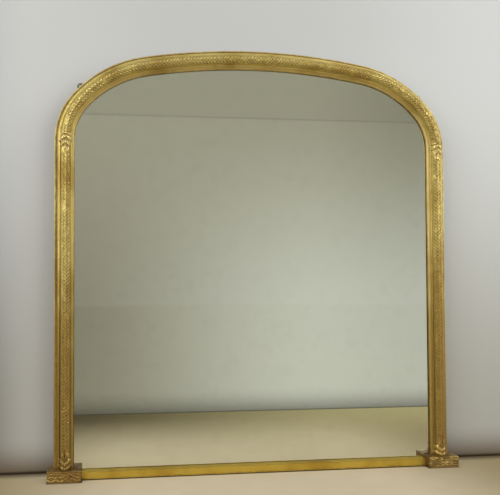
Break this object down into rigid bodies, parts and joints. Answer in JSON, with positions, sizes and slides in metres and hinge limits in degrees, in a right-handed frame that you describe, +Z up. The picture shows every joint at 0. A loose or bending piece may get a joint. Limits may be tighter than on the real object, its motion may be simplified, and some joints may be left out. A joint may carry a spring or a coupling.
{
  "type": "overmantel mirror",
  "caption": "Arched giltwood overmantel mirror: torus moulding on a pine carcase round one plain glass, acanthus leaves at spring and base, carved foot blocks.",
  "frame": {"origin": "on the shelf, in the middle of the width over the feet and of the depth", "axes": "+Z up, +Y towards the wall, X along the shelf; the glass faces -Y"},
  "size_m": [1.5, 0.077, 1.537],
  "materials": {
    "torus_gilding": "water gilding over bole and gesso, rubbed on the high points",
    "slip_gilding": "burnished gilding",
    "rail_gilding": "flat gilding, worn",
    "foot_gilding": "gilding with dirt in the carving",
    "leaf_gilding": "gilt composition",
    "carcase_pine": "aged pine, unfinished",
    "backboard_pine": "aged pine, unfinished",
    "glass": "polished plate glass",
    "silvering": "silvered, painted behind",
    "plate_iron": "dark oxidised",
    "fastener_steel": "dull, lightly rusted"
  },
  "bodies": {
    "root": {"stile_moulding_left": "torus_gilding", "stile_moulding_right": "torus_gilding", "shoulder_moulding_left": "torus_gilding", "shoulder_moulding_right": "torus_gilding", "haunch_moulding_left": "torus_gilding", "haunch_moulding_right": "torus_gilding", "crown_moulding": "torus_gilding", "slip_stile_left": "slip_gilding", "slip_stile_right": "slip_gilding", "slip_shoulder_left": "slip_gilding", "slip_shoulder_right": "slip_gilding", "slip_haunch_left": "slip_gilding", "slip_haunch_right": "slip_gilding", "slip_crown": "slip_gilding", "bottom_rail": "rail_gilding", "foot_left": "foot_gilding", "foot_right": "foot_gilding", "capital_leaf_left": "leaf_gilding", "capital_leaf_right": "leaf_gilding", "base_leaf_left": "leaf_gilding", "base_leaf_right": "leaf_gilding", "carcase_stile_left": "carcase_pine", "carcase_stile_right": "carcase_pine", "carcase_shoulder_left": "carcase_pine", "carcase_shoulder_right": "carcase_pine", "carcase_haunch_left": "carcase_pine", "carcase_haunch_right": "carcase_pine", "carcase_crown": "carcase_pine", "carcase_rail": "carcase_pine", "glazing_blocks": "carcase_pine", "glass_plate": "glass", "silvering": "silvering", "backboard_1": "backboard_pine", "backboard_2": "backboard_pine", "backboard_3": "backboard_pine", "backboard_4": "backboard_pine", "backboard_5": "backboard_pine", "backboard_6": "backboard_pine", "hanging_plate_left": "plate_iron", "hanging_plate_right": "plate_iron", "backboard_nails": "fastener_steel", "plate_screws": "fastener_steel", "foot_screws": "fastener_steel", "lap_screws": "fastener_steel"}
  },
  "joints": []
}
